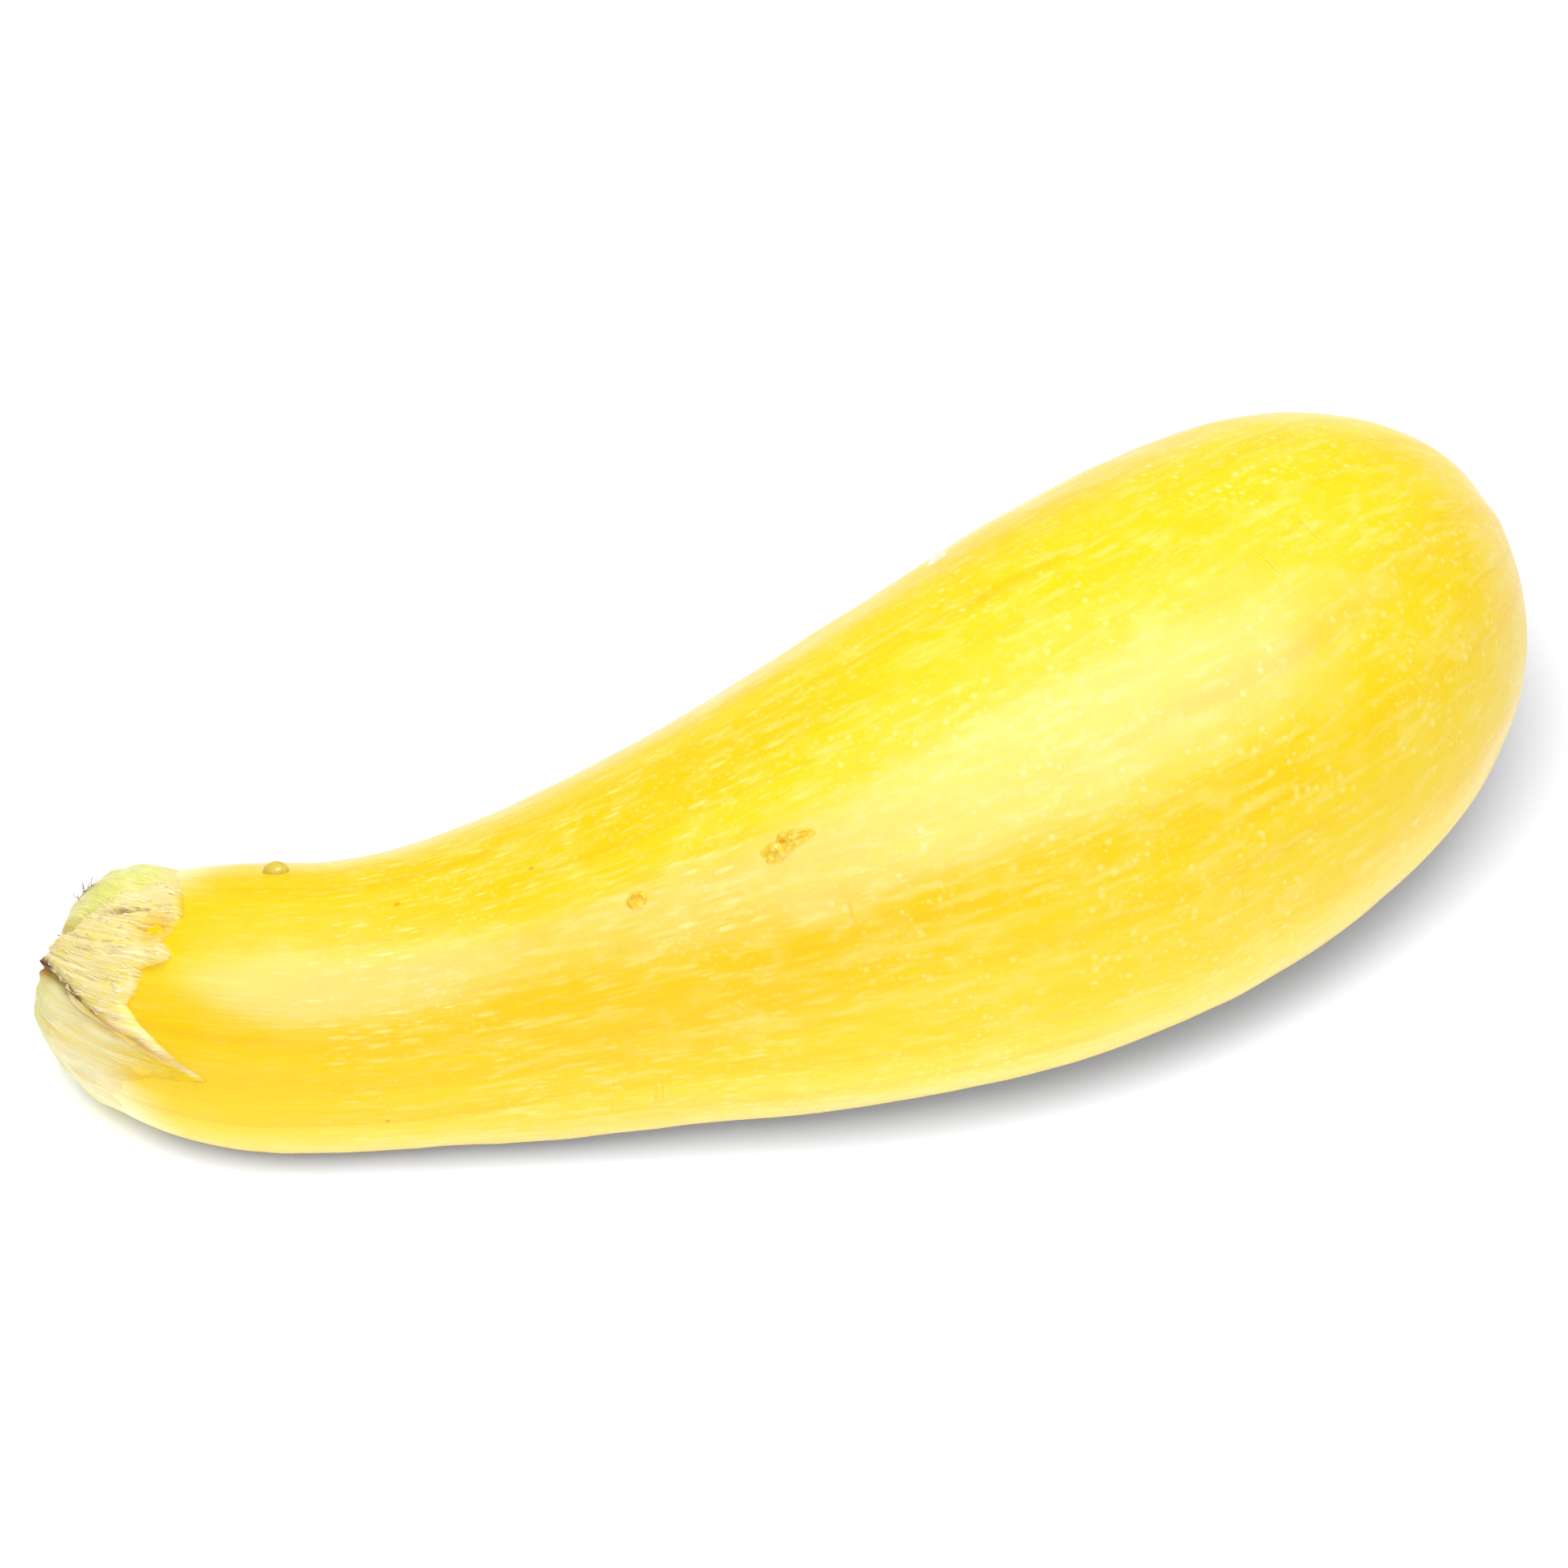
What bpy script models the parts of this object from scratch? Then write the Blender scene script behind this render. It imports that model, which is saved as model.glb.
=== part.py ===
"""A yellow summer squash lying on its side, as picked.

Two grown pieces: the fruit, and the torn stub of its stem at the narrow end.
Metres, +Z up.  The stem end points to -X, the blossom end to +X, the origin
is the middle of the object's box on the surface that it lies on.
"""
import math

import bmesh
import bpy
import numpy as np

# Lengths along the bent axis, from the stem end to the blossom end
NECK_LENGTH = 0.0310
SWELL_LENGTH = 0.1020
BULB_LENGTH = 0.0590
STUB_LENGTH = 0.0110

# Thickness
NECK_RADIUS = 0.0169
BULB_RADIUS = 0.0317

# How blunt each rounded end is: 2 is an ellipse, more is blunter
STEM_END_BLUNTNESS = 2.45
BLOSSOM_END_BLUNTNESS = 2.75

# The crook, seen from above: where along the axis, and its heading there
STEM_END_HEADING = math.radians(-54.0)
NECK_HEADING = math.radians(-16.0)
WAIST_HEADING = math.radians(-5.0)
SHOULDER_HEADING = math.radians(4.0)
BULB_HEADING = math.radians(25.0)
BLOSSOM_END_HEADING = math.radians(14.0)
WAIST_PLACE = 0.35
SHOULDER_PLACE = 0.70
BULB_PLACE = 1.10

# The underside: pressed flat where it rests, and arched clear in between
REST_FLATTENING = 0.0008
WAIST_ARCH = 0.0012

# Lobes of the stem stub, between creases that fade out along the neck
LOBES = 5
LOBE_DEPTH = 0.0010
LOBE_FADE_LENGTH = 0.0240
LOBE_TURN = math.radians(20.0)
CREASE_SHARPNESS = 2.0

# The stub and the fruit stay just clear of each other
STEM_GAP = 0.0003

# Fineness of the surfaces
SIDES = 50
FRUIT_RINGS = 54
STUB_RINGS = 8
AXIS_STEPS = 400
SHARP_EDGE_ANGLE = math.radians(40.0)

# Colours, red green blue, and how dull each surface is
SKIN_YELLOW = (1.0, 0.72, 0.02)
SKIN_ROUGHNESS = 0.35
STEM_STRAW = (0.75, 0.72, 0.38)
STEM_ROUGHNESS = 0.70

AXIS_LENGTH = NECK_LENGTH + SWELL_LENGTH + BULB_LENGTH


def clear_scene():
    for thing in list(bpy.data.objects):
        bpy.data.objects.remove(thing, do_unlink=True)


def surface_material(name, colour, roughness):
    material = bpy.data.materials.new(name)
    material.use_nodes = True
    shader = material.node_tree.nodes["Principled BSDF"]
    shader.inputs["Base Color"].default_value = (*colour, 1.0)
    shader.inputs["Roughness"].default_value = roughness
    shader.inputs["Metallic"].default_value = 0.0
    material.diffuse_color = (*colour, 1.0)
    return material


def smooth_curve(places, values):
    """Natural cubic spline through a few points, as a function."""
    x = np.array(places)
    y = np.array(values)
    step = np.diff(x)
    slope = np.diff(y) / step
    count = len(x)
    system = np.eye(count)
    bend = np.zeros(count)
    for i in range(1, count - 1):
        system[i, i - 1] = step[i - 1]
        system[i, i] = 2.0 * (step[i - 1] + step[i])
        system[i, i + 1] = step[i]
        bend[i] = 6.0 * (slope[i] - slope[i - 1])
    curvature = np.linalg.solve(system, bend)

    def value(at):
        i = int(np.clip(np.searchsorted(x, at) - 1, 0, count - 2))
        past = (at - x[i]) / step[i]
        left = 1.0 - past
        straight = left * y[i] + past * y[i + 1]
        cubic = (left ** 3 - left) * curvature[i] + (past ** 3 - past) * curvature[i + 1]
        return straight + cubic * step[i] ** 2 / 6.0

    return value


def crook_heading():
    """Heading of the axis, seen from above, along its length."""
    places = (
        0.0,
        NECK_LENGTH,
        NECK_LENGTH + WAIST_PLACE * SWELL_LENGTH,
        NECK_LENGTH + SHOULDER_PLACE * SWELL_LENGTH,
        NECK_LENGTH + BULB_PLACE * SWELL_LENGTH,
        AXIS_LENGTH,
    )
    headings = (
        STEM_END_HEADING,
        NECK_HEADING,
        WAIST_HEADING,
        SHOULDER_HEADING,
        BULB_HEADING,
        BLOSSOM_END_HEADING,
    )
    return smooth_curve(places, headings)


HEADING_AT = crook_heading()


def walk_axis():
    """Distances along the axis and the plan position at each of them."""
    distances = np.linspace(0.0, AXIS_LENGTH, AXIS_STEPS + 1)
    middles = (distances[1:] + distances[:-1]) / 2.0
    headings = np.array([HEADING_AT(at) for at in middles])
    stride = AXIS_LENGTH / AXIS_STEPS
    x = np.concatenate(([0.0], np.cumsum(np.cos(headings) * stride)))
    y = np.concatenate(([0.0], np.cumsum(np.sin(headings) * stride)))
    return distances, x, y


AXIS_DISTANCES, AXIS_X, AXIS_Y = walk_axis()


def swell(at):
    """How far the neck has widened into the bulb, from 0 to 1."""
    share = min(max((at - NECK_LENGTH) / SWELL_LENGTH, 0.0), 1.0)
    return share * share * (3.0 - 2.0 * share)


def body_radius(at):
    return NECK_RADIUS + (BULB_RADIUS - NECK_RADIUS) * swell(at)


def end_rounding(at):
    """Share of the body radius that the two rounded ends leave."""
    to_stem = max((NECK_LENGTH - at) / NECK_LENGTH, 0.0)
    to_blossom = max((at - NECK_LENGTH - SWELL_LENGTH) / BULB_LENGTH, 0.0)
    stem_share = max(1.0 - to_stem ** STEM_END_BLUNTNESS, 0.0)
    blossom_share = max(1.0 - to_blossom ** BLOSSOM_END_BLUNTNESS, 0.0)
    return math.sqrt(stem_share * blossom_share)


def lobe_cut(at, angle):
    """Depth of the sharp creases between the stem's lobes."""
    fade = max(1.0 - at / LOBE_FADE_LENGTH, 0.0)
    crease = 1.0 - abs(math.cos(LOBES * (angle + LOBE_TURN) / 2.0))
    return LOBE_DEPTH * fade * end_rounding(at) * crease ** CREASE_SHARPNESS


def axis_point(at):
    """Centre of the round section, on its way over the waist's arch."""
    share = min(max((at - NECK_LENGTH) / SWELL_LENGTH, 0.0), 1.0)
    arch = WAIST_ARCH * math.sin(math.pi * share) ** 2
    x = np.interp(at, AXIS_DISTANCES, AXIS_X)
    y = np.interp(at, AXIS_DISTANCES, AXIS_Y)
    return np.array([x, y, body_radius(at) - REST_FLATTENING + arch])


def skin_point(at, angle):
    """Point of the outside, with the underside pressed flat at z = 0."""
    heading = HEADING_AT(at)
    sideways = np.array([-math.sin(heading), math.cos(heading), 0.0])
    upwards = np.array([0.0, 0.0, 1.0])
    radius = body_radius(at) * end_rounding(at) - lobe_cut(at, angle)
    outwards = math.cos(angle) * sideways + math.sin(angle) * upwards
    point = axis_point(at) + radius * outwards
    point[2] = max(point[2], 0.0)
    return point


def ring_points(at):
    return [skin_point(at, math.tau * side / SIDES) for side in range(SIDES)]


def fruit_distances():
    """Ring places, closer together towards the blossom end."""
    start = STUB_LENGTH + STEM_GAP
    shares = [math.sin(math.pi / 2.0 * i / FRUIT_RINGS) for i in range(FRUIT_RINGS)]
    return [start + (AXIS_LENGTH - start) * share for share in shares]


def stub_distances():
    """Ring places, closer together towards the tip, short of the seam."""
    turns = [math.pi / 2.0 * i / STUB_RINGS for i in range(1, STUB_RINGS)]
    return [STUB_LENGTH * (1.0 - math.cos(turn)) for turn in turns]


def seam_shift():
    """From the fruit's seam face back to the stub's, which lies parallel to it."""
    heading = HEADING_AT(STUB_LENGTH + STEM_GAP)
    return -STEM_GAP * np.array([math.cos(heading), math.sin(heading), 0.0])


def fan(mesh, ring, centre, reverse):
    """Close a ring with triangles to its middle point."""
    for i, corner in enumerate(ring):
        following = ring[(i + 1) % SIDES]
        corners = (following, corner, centre) if reverse else (corner, following, centre)
        mesh.faces.new(corners)


def closed_body(rings, first_middle, last_middle):
    """Skin the rings in order and close both ends, faces pointing out."""
    mesh = bmesh.new()
    loops = [[mesh.verts.new(point) for point in ring] for ring in rings]
    for near, far in zip(loops, loops[1:]):
        for i in range(SIDES):
            following = (i + 1) % SIDES
            mesh.faces.new((near[i], near[following], far[following], far[i]))
    fan(mesh, loops[0], mesh.verts.new(first_middle), reverse=True)
    fan(mesh, loops[-1], mesh.verts.new(last_middle), reverse=False)
    bmesh.ops.recalc_face_normals(mesh, faces=mesh.faces)
    return mesh


def place_object(name, mesh, origin, material):
    """Link the finished body, with its points measured from the origin."""
    bmesh.ops.translate(mesh, verts=mesh.verts, vec=tuple(-origin))
    data = bpy.data.meshes.new(name)
    mesh.to_mesh(data)
    mesh.free()
    data.materials.append(material)
    data.shade_smooth()
    data.set_sharp_from_angle(angle=SHARP_EDGE_ANGLE)
    thing = bpy.data.objects.new(name, data)
    bpy.context.scene.collection.objects.link(thing)


def box_bottom_middle(rings):
    points = np.array([point for ring in rings for point in ring])
    middle = (points.min(axis=0) + points.max(axis=0)) / 2.0
    return np.array([middle[0], middle[1], 0.0])


def main():
    clear_scene()
    fruit_rings = [ring_points(at) for at in fruit_distances()]
    stub_rings = [ring_points(at) for at in stub_distances()]
    stub_rings.append([point + seam_shift() for point in fruit_rings[0]])
    origin = box_bottom_middle(fruit_rings + stub_rings)

    seam_middle = axis_point(STUB_LENGTH + STEM_GAP)
    fruit = closed_body(fruit_rings, seam_middle, axis_point(AXIS_LENGTH))
    yellow_skin = surface_material("waxy_yellow_skin", SKIN_YELLOW, SKIN_ROUGHNESS)
    place_object("fruit", fruit, origin, yellow_skin)

    stub = closed_body(stub_rings, axis_point(0.0), seam_middle + seam_shift())
    torn_stem = surface_material("pale_torn_stem", STEM_STRAW, STEM_ROUGHNESS)
    place_object("stem_stub", stub, origin, torn_stem)


main()
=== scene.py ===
"""Looks of a whole yellow summer squash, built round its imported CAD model.

The squash lies on its side: a crooked neck with the torn end of its stem, a
long swell, and a blunt bulb.  The skin is grown along the same bent axis and
with the same girth as the CAD solids, and is placed by their box.
"""

import math

import bpy
import numpy as np
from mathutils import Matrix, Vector, noise
from mathutils.bvhtree import BVHTree


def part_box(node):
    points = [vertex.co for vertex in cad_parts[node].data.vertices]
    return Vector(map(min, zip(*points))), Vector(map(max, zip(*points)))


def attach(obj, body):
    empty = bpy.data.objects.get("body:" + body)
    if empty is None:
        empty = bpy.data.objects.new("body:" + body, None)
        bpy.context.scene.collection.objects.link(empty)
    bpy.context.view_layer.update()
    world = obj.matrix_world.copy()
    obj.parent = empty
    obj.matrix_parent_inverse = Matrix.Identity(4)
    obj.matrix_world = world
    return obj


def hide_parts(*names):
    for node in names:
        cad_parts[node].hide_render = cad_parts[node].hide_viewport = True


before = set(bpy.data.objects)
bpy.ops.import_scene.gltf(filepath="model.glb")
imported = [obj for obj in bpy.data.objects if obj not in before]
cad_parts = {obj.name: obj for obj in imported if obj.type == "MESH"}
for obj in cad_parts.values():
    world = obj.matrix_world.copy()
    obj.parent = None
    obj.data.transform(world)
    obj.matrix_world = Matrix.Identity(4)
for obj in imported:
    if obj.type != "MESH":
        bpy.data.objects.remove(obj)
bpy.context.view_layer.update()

MM = 0.001
UP = np.array([0.0, 0.0, 1.0])


# ---------------------------------------------------------------- growth rule

NECK_LENGTH = 31.0 * MM
SWELL_LENGTH = 102.0 * MM
BULB_LENGTH = 59.0 * MM
NECK_RADIUS = 16.9 * MM
BULB_RADIUS = 31.7 * MM
STEM_END_BLUNTNESS = 2.45
BLOSSOM_END_BLUNTNESS = 2.75
HEADING_SHARES = (0.35, 0.70, 1.10)
HEADINGS = (-54.0, -16.0, -5.0, 4.0, 25.0, 14.0)
REST_FLATTENING = 0.8 * MM
WAIST_ARCH = 1.2 * MM
LOBES = 5
LOBE_DEPTH = 1.0 * MM
LOBE_FADE_LENGTH = 24.0 * MM
LOBE_TURN = math.radians(20.0)

AXIS_LENGTH = NECK_LENGTH + SWELL_LENGTH + BULB_LENGTH
AXIS_STEPS = 400
MEASURED_STATIONS = 385
MEASURED_SIDES = 129
STEEPEST_SLOPE = 6.0


def spline_through(places, values, at):
    """Natural cubic spline through a few points, at many places at once."""
    x = np.array(places)
    y = np.array(values)
    step = np.diff(x)
    slope = np.diff(y) / step
    system = np.eye(len(x))
    bend = np.zeros(len(x))
    for i in range(1, len(x) - 1):
        system[i, i - 1] = step[i - 1]
        system[i, i] = 2.0 * (step[i - 1] + step[i])
        system[i, i + 1] = step[i]
        bend[i] = 6.0 * (slope[i] - slope[i - 1])
    curvature = np.linalg.solve(system, bend)
    i = np.clip(np.searchsorted(x, at) - 1, 0, len(x) - 2)
    past = (at - x[i]) / step[i]
    left = 1.0 - past
    cubic = (left ** 3 - left) * curvature[i] + (past ** 3 - past) * curvature[i + 1]
    return left * y[i] + past * y[i + 1] + cubic * step[i] ** 2 / 6.0


def heading_at(along):
    middles = [NECK_LENGTH + share * SWELL_LENGTH for share in HEADING_SHARES]
    places = [0.0, NECK_LENGTH, *middles, AXIS_LENGTH]
    return spline_through(places, np.radians(HEADINGS), along)


def swell_share(along):
    return np.clip((along - NECK_LENGTH) / SWELL_LENGTH, 0.0, 1.0)


def body_radius(along):
    share = swell_share(along)
    return NECK_RADIUS + (BULB_RADIUS - NECK_RADIUS) * share ** 2 * (3.0 - 2.0 * share)


def end_rounding(along):
    to_stem = np.clip((NECK_LENGTH - along) / NECK_LENGTH, 0.0, 1.0)
    to_blossom = np.clip((along - NECK_LENGTH - SWELL_LENGTH) / BULB_LENGTH, 0.0, 1.0)
    return np.sqrt((1.0 - to_stem ** STEM_END_BLUNTNESS) * (1.0 - to_blossom ** BLOSSOM_END_BLUNTNESS))


def girth(along):
    return body_radius(along) * end_rounding(along)


def lobe_depth(along):
    return LOBE_DEPTH * np.clip(1.0 - along / LOBE_FADE_LENGTH, 0.0, 1.0) * end_rounding(along)


def axis_before_placing(along):
    """The bent axis with its stem end at the origin."""
    walked = np.linspace(0.0, AXIS_LENGTH, AXIS_STEPS + 1)
    headings = heading_at((walked[1:] + walked[:-1]) / 2.0)
    stride = AXIS_LENGTH / AXIS_STEPS
    x = np.concatenate(([0.0], np.cumsum(np.cos(headings) * stride)))
    y = np.concatenate(([0.0], np.cumsum(np.sin(headings) * stride)))
    z = body_radius(along) - REST_FLATTENING
    z = z + WAIST_ARCH * np.sin(math.pi * swell_share(along)) ** 2
    return np.stack([np.interp(along, walked, x), np.interp(along, walked, y), z], axis=-1)


def side_way(along):
    heading = heading_at(along)
    return np.stack([-np.sin(heading), np.cos(heading), 0.0 * heading], axis=-1)


def round_way(along, turn):
    """Outwards from the axis: turn 0 is to its left, a quarter turn is up."""
    return np.cos(turn)[..., None] * side_way(along) + np.sin(turn)[..., None] * UP


def cad_corners():
    boxes = [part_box(node) for node in ("fruit", "stem_stub")]
    low = np.min([np.array(box[0]) for box in boxes], axis=0)
    high = np.max([np.array(box[1]) for box in boxes], axis=0)
    return low, high


def placing():
    """The shift that lays the grown shape's box on the CAD model's box."""
    stations = np.linspace(0.0, AXIS_LENGTH, MEASURED_STATIONS)
    along, turn = np.meshgrid(stations, np.linspace(0.0, math.tau, MEASURED_SIDES))
    skin = axis_before_placing(along) + girth(along)[..., None] * round_way(along, turn)
    low, high = cad_corners()
    shift = (low + high) / 2.0 - (skin.min(axis=(0, 1)) + skin.max(axis=(0, 1))) / 2.0
    return np.array([shift[0], shift[1], low[2]])


PLACING = placing()
FLOOR_LEVEL = PLACING[2]


def axis_point(along):
    return axis_before_placing(along) + PLACING


def skin_point(along, turn):
    """Point of the skin, never below the resting level."""
    crease = (1.0 - np.abs(np.cos(LOBES * (turn + LOBE_TURN) / 2.0))) ** 2
    reach = girth(along) - lobe_depth(along) * crease
    point = axis_point(along) + reach[..., None] * round_way(along, turn)
    point[..., 2] = np.maximum(point[..., 2], FLOOR_LEVEL)
    return point


def raised_point(along, turn, lift):
    """Point at a height over the skin, measured square to its surface."""
    step = 0.05 * MM
    slope = (girth(along + step) - girth(np.maximum(along - step, 0.0))) / (2.0 * step)
    lean = np.arctan(np.clip(slope, -STEEPEST_SLOPE, STEEPEST_SLOPE))
    heading = heading_at(along)
    forwards = np.stack([np.cos(heading), np.sin(heading), 0.0 * heading], axis=-1)
    outwards = np.cos(lean)[..., None] * round_way(along, turn) - np.sin(lean)[..., None] * forwards
    point = skin_point(along, turn) + lift[..., None] * outwards
    point[..., 2] = np.maximum(point[..., 2], FLOOR_LEVEL)
    return point


# ----------------------------------------------- the stem's reach and tints

# Lines over the skin: (millimetres along the axis, degrees round it).
LOBE_EDGE = (
    (3.0, 124.0), (5.0, 113.0), (7.0, 107.0), (9.0, 96.0), (11.0, 85.0), (14.0, 79.0), (17.0, 76.0),
)
CREASE = ((3.0, 139.0), (7.0, 140.0), (11.5, 147.0), (16.7, 153.0), (22.3, 162.0), (28.3, 166.5))
SLIT = ((10.5, 100.5), (16.0, 92.5))
SLIT_MIDDLE = 13.2

# How far the tissue reaches: (degrees round the axis, millimetres along it).
TISSUE_EDGE = (
    (0.0, 12.0), (40.0, 12.5), (61.0, 14.0), (75.0, 16.5), (88.0, 18.4), (97.0, 18.8), (104.0, 18.3),
    (109.0, 17.6), (115.0, 19.4), (121.0, 16.8), (131.0, 16.2), (138.0, 15.6), (144.0, 17.0),
    (158.0, 21.5), (164.0, 23.8), (168.0, 19.0), (175.0, 16.0), (250.0, 13.0), (300.0, 14.5), (360.0, 12.0),
)

# Mounds: (millimetres along, their length, degrees round, their width).
UPPER_LOBE = (6.8, 4.4, 80.0, 25.0)
UPPER_LOBE_HEEL = (10.8, 3.4, 60.0, 14.0)
LOWER_LOBE = (6.8, 4.0, 167.0, 17.0)
FAR_LOBES = [(7.2, 4.5, middle, 20.0) for middle in (232.0, 285.0, 350.0)]
HOLLOW = (16.0, 1.5, 103.0, 6.5)
HOLLOW_SKIN = (16.0, 1.8, 103.0, 7.0)
FLAP = (18.1, 1.2, 114.0, 4.6)
FLAP_TISSUE = (18.1, 1.3, 114.0, 5.0)
SPUR = (4.4, 0.9, 139.5, 6.0)
SPUR_SAP = (4.2, 1.3, 139.5, 8.0)
CUT_FACE = (3.0, 2.2, 110.0, 40.0)
CUT_FACE_SAP = (4.4, 1.2, 112.0, 9.0)
PALE_SHOULDER = (11.5, 2.6, 163.0, 9.0)
DRIED_EDGE = (5.6, 2.2, 84.0, 5.0)
RIPE_PATCH = (18.0, 3.2, 170.0, 7.0)
WHISKER_SPOTS = ((5.4, 1.6, 84.0, 9.0), (3.6, 1.0, 112.0, 14.0))

GREEN_REACH = 16.5
GREEN_REACH_BELOW = 9.0
GREEN_FADE = 5.0
UNDERSIDE_START = 195.0
UNDERSIDE_WHOLE = 215.0


def ramp(value, low, high):
    share = np.clip((value - low) / (high - low), 0.0, 1.0)
    return share * share * (3.0 - 2.0 * share)


def wrapped(degrees):
    """Angle from -180 to 180 degrees."""
    return (degrees + 180.0) % 360.0 - 180.0


def mound(along, degrees, at, length, facing, width):
    """A smooth round hump of height 1 on the skin's surface."""
    return np.exp(-((along - at) / length) ** 2 - (wrapped(degrees - facing) / width) ** 2)


def line_gap(along, degrees, line):
    """Distance over the skin, in millimetres, from a line that runs along it."""
    facing = np.interp(along, *zip(*line))
    return wrapped(degrees - facing) * math.radians(1.0) * girth(along * MM) / MM


def near_line(along, degrees, line, width, aside=0.0):
    """1 on a line over the skin, or at a distance beside it, and 0 far off."""
    return np.exp(-((line_gap(along, degrees, line) - aside) / width) ** 2)


def stem_reach(degrees):
    """How far the stem's tissue reaches along the neck, all the way round."""
    return np.interp(degrees % 360.0, *zip(*TISSUE_EDGE))


def wedge_share(along, degrees):
    """1 in the torn wedge, between the upper lobe and the crease."""
    above = line_gap(along, degrees, LOBE_EDGE)
    below = line_gap(along, degrees, CREASE)
    return ramp(above, -0.3, 0.5) * ramp(below, 0.3, -0.4)


def greened(along, degrees):
    """Green of the stem's lobes, fading into the skin."""
    above = ramp(line_gap(along, degrees, LOBE_EDGE), 0.5, -0.3)
    below = ramp(line_gap(along, degrees, CREASE), -0.4, 0.6)
    below = below * ramp(degrees, UNDERSIDE_WHOLE, UNDERSIDE_START)
    under = ramp(degrees, UNDERSIDE_START, UNDERSIDE_WHOLE)
    reach = GREEN_REACH + (GREEN_REACH_BELOW - GREEN_REACH) * below
    return np.clip(above + below + under, 0.0, 1.0) * ramp(along, reach, reach - GREEN_FADE)


def creamed(along, degrees):
    """The cream shoulder under the crease, and a pale rim round the wedge."""
    below = ramp(line_gap(along, degrees, CREASE), -0.2, 0.6) * ramp(degrees, 225.0, 200.0)
    shoulder = below * ramp(along, 21.0, 12.5) * (1.0 - mound(along, degrees, *RIPE_PATCH))
    rim = ramp(along, 22.0, 14.0) * ramp(degrees, 90.0, 70.0)
    return np.clip(shoulder + 0.6 * rim, 0.0, 1.0)


def noise_at(spots):
    """Smooth noise, from -1 to 1, at many places."""
    values = [noise.noise(Vector(spot)) for spot in spots.reshape(-1, 3)]
    return np.array(values).reshape(spots.shape[:-1])


# ------------------------------------------------------------- node plumbing


def add_node(tree, kind, **settings):
    made = tree.nodes.new(kind)
    for key, value in settings.items():
        setattr(made, key, value)
    return made


def feed(tree, made, inputs):
    """Set or link a node's inputs, given by name or by place."""
    for key, value in inputs.items():
        socket = made.inputs[key]
        if isinstance(value, bpy.types.NodeSocket):
            tree.links.new(value, socket)
        else:
            socket.default_value = value


def maths(tree, operation, *values, clamp=False):
    made = add_node(tree, "ShaderNodeMath", operation=operation, use_clamp=clamp)
    feed(tree, made, dict(enumerate(values)))
    return made.outputs[0]


def vector_maths(tree, operation, *values):
    made = add_node(tree, "ShaderNodeVectorMath", operation=operation)
    feed(tree, made, dict(enumerate(values)))
    return made.outputs[0]


def scaled(tree, vector, factor):
    made = add_node(tree, "ShaderNodeVectorMath", operation="SCALE")
    feed(tree, made, {0: vector, "Scale": factor})
    return made.outputs[0]


def between(tree, value, low, high, to_low=0.0, to_high=1.0):
    """Smooth ramp of a value from one range to another."""
    made = add_node(tree, "ShaderNodeMapRange", interpolation_type="SMOOTHSTEP")
    feed(tree, made, {0: value, 1: low, 2: high, 3: to_low, 4: to_high})
    return made.outputs[0]


def cloudy(tree, vector, scale, detail=3.0, roughness=0.5, distortion=0.0):
    made = add_node(tree, "ShaderNodeTexNoise")
    feed(tree, made, {"Vector": vector, "Scale": scale, "Detail": detail})
    feed(tree, made, {"Roughness": roughness, "Distortion": distortion})
    return made.outputs[0]


def blended(tree, share, first, second):
    """Mix two colours."""
    made = add_node(tree, "ShaderNodeMix", data_type="RGBA")
    feed(tree, made, {0: share, 6: first, 7: second})
    return made.outputs[2]


# ------------------------------------------------------------------ materials


class Finish:
    """A material's node tree with the shader and what patterns read."""

    def __init__(self, name, **shader):
        self.material = bpy.data.materials.new(name)
        self.material.use_nodes = True
        self.tree = self.material.node_tree
        self.shader = self.tree.nodes["Principled BSDF"]
        feed(self.tree, self.shader, {key.replace("_", " "): value for key, value in shader.items()})
        self.place = add_node(self.tree, "ShaderNodeTexCoord").outputs["Object"]

    def attribute(self, name, output="Fac"):
        return add_node(self.tree, "ShaderNodeAttribute", attribute_name=name).outputs[output]

    def stretched(self, vector, x, y, z):
        made = add_node(self.tree, "ShaderNodeMapping")
        feed(self.tree, made, {"Vector": vector, "Scale": (x, y, z)})
        return made.outputs[0]

    def dots(self, vector, scale, low, high):
        """Small round spots: 1 in their middle, 0 outside."""
        made = add_node(self.tree, "ShaderNodeTexVoronoi")
        feed(self.tree, made, {"Vector": vector, "Scale": scale})
        kept = add_node(self.tree, "ShaderNodeSeparateColor")
        feed(self.tree, kept, {0: made.outputs["Color"]})
        size = between(self.tree, kept.outputs[0], 0.10, 0.90, 0.50, 1.0)
        near = maths(self.tree, "DIVIDE", made.outputs["Distance"], size)
        return between(self.tree, near, low, high, 1.0, 0.0)

    def bump(self, height, depth):
        made = add_node(self.tree, "ShaderNodeBump")
        feed(self.tree, made, {"Height": height, "Distance": depth, "Strength": 1.0})
        return made.outputs[0]

    def finish(self, **inputs):
        feed(self.tree, self.shader, {key.replace("_", " "): value for key, value in inputs.items()})
        return self.material


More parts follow.
